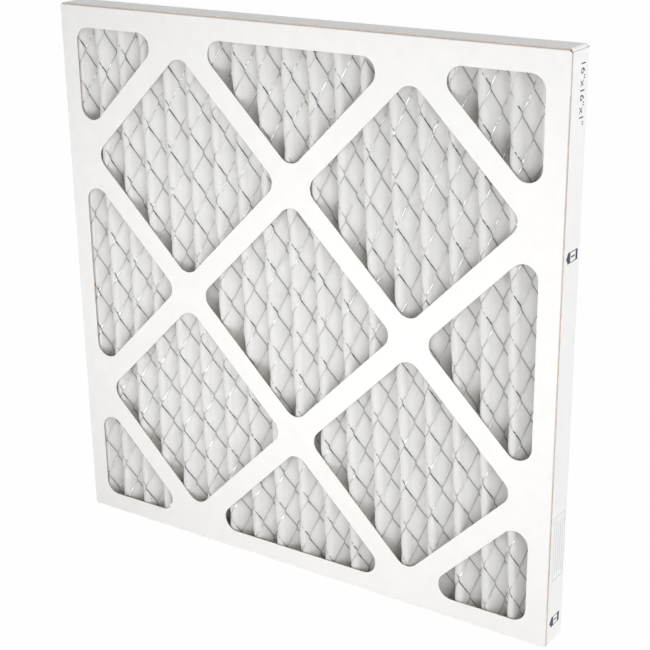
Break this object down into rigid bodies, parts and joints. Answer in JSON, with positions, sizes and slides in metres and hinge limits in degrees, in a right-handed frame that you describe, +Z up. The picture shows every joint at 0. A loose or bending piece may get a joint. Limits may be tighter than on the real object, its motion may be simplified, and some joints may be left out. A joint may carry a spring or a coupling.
{
  "type": "pleated panel air filter",
  "caption": "Square pleated air filter: white media on diamond mesh between two die-cut paperboard window grids.",
  "frame": {"origin": "middle of the bottom edge face", "axes": "+Z up, +X to the right seen from the air-leaving face, +Y through the panel towards the air-entering face"},
  "size_m": [0.3938, 0.0222, 0.3937],
  "materials": {
    "frame_board": "clay-coated white face, brown kraft core and inside",
    "filter_media": "soft matt non-woven felt, quilted by the mesh",
    "expanded_steel": "thin galvanised strands with bright edges",
    "hot_melt": "set adhesive, slightly translucent"
  },
  "bodies": {
    "root": {"front_tray": "frame_board", "rear_tray": "frame_board", "pleated_media": "filter_media", "expanded_metal": "expanded_steel", "top_seal_bead": "hot_melt", "bottom_seal_bead": "hot_melt", "left_seal_bead": "hot_melt", "right_seal_bead": "hot_melt"}
  },
  "joints": []
}
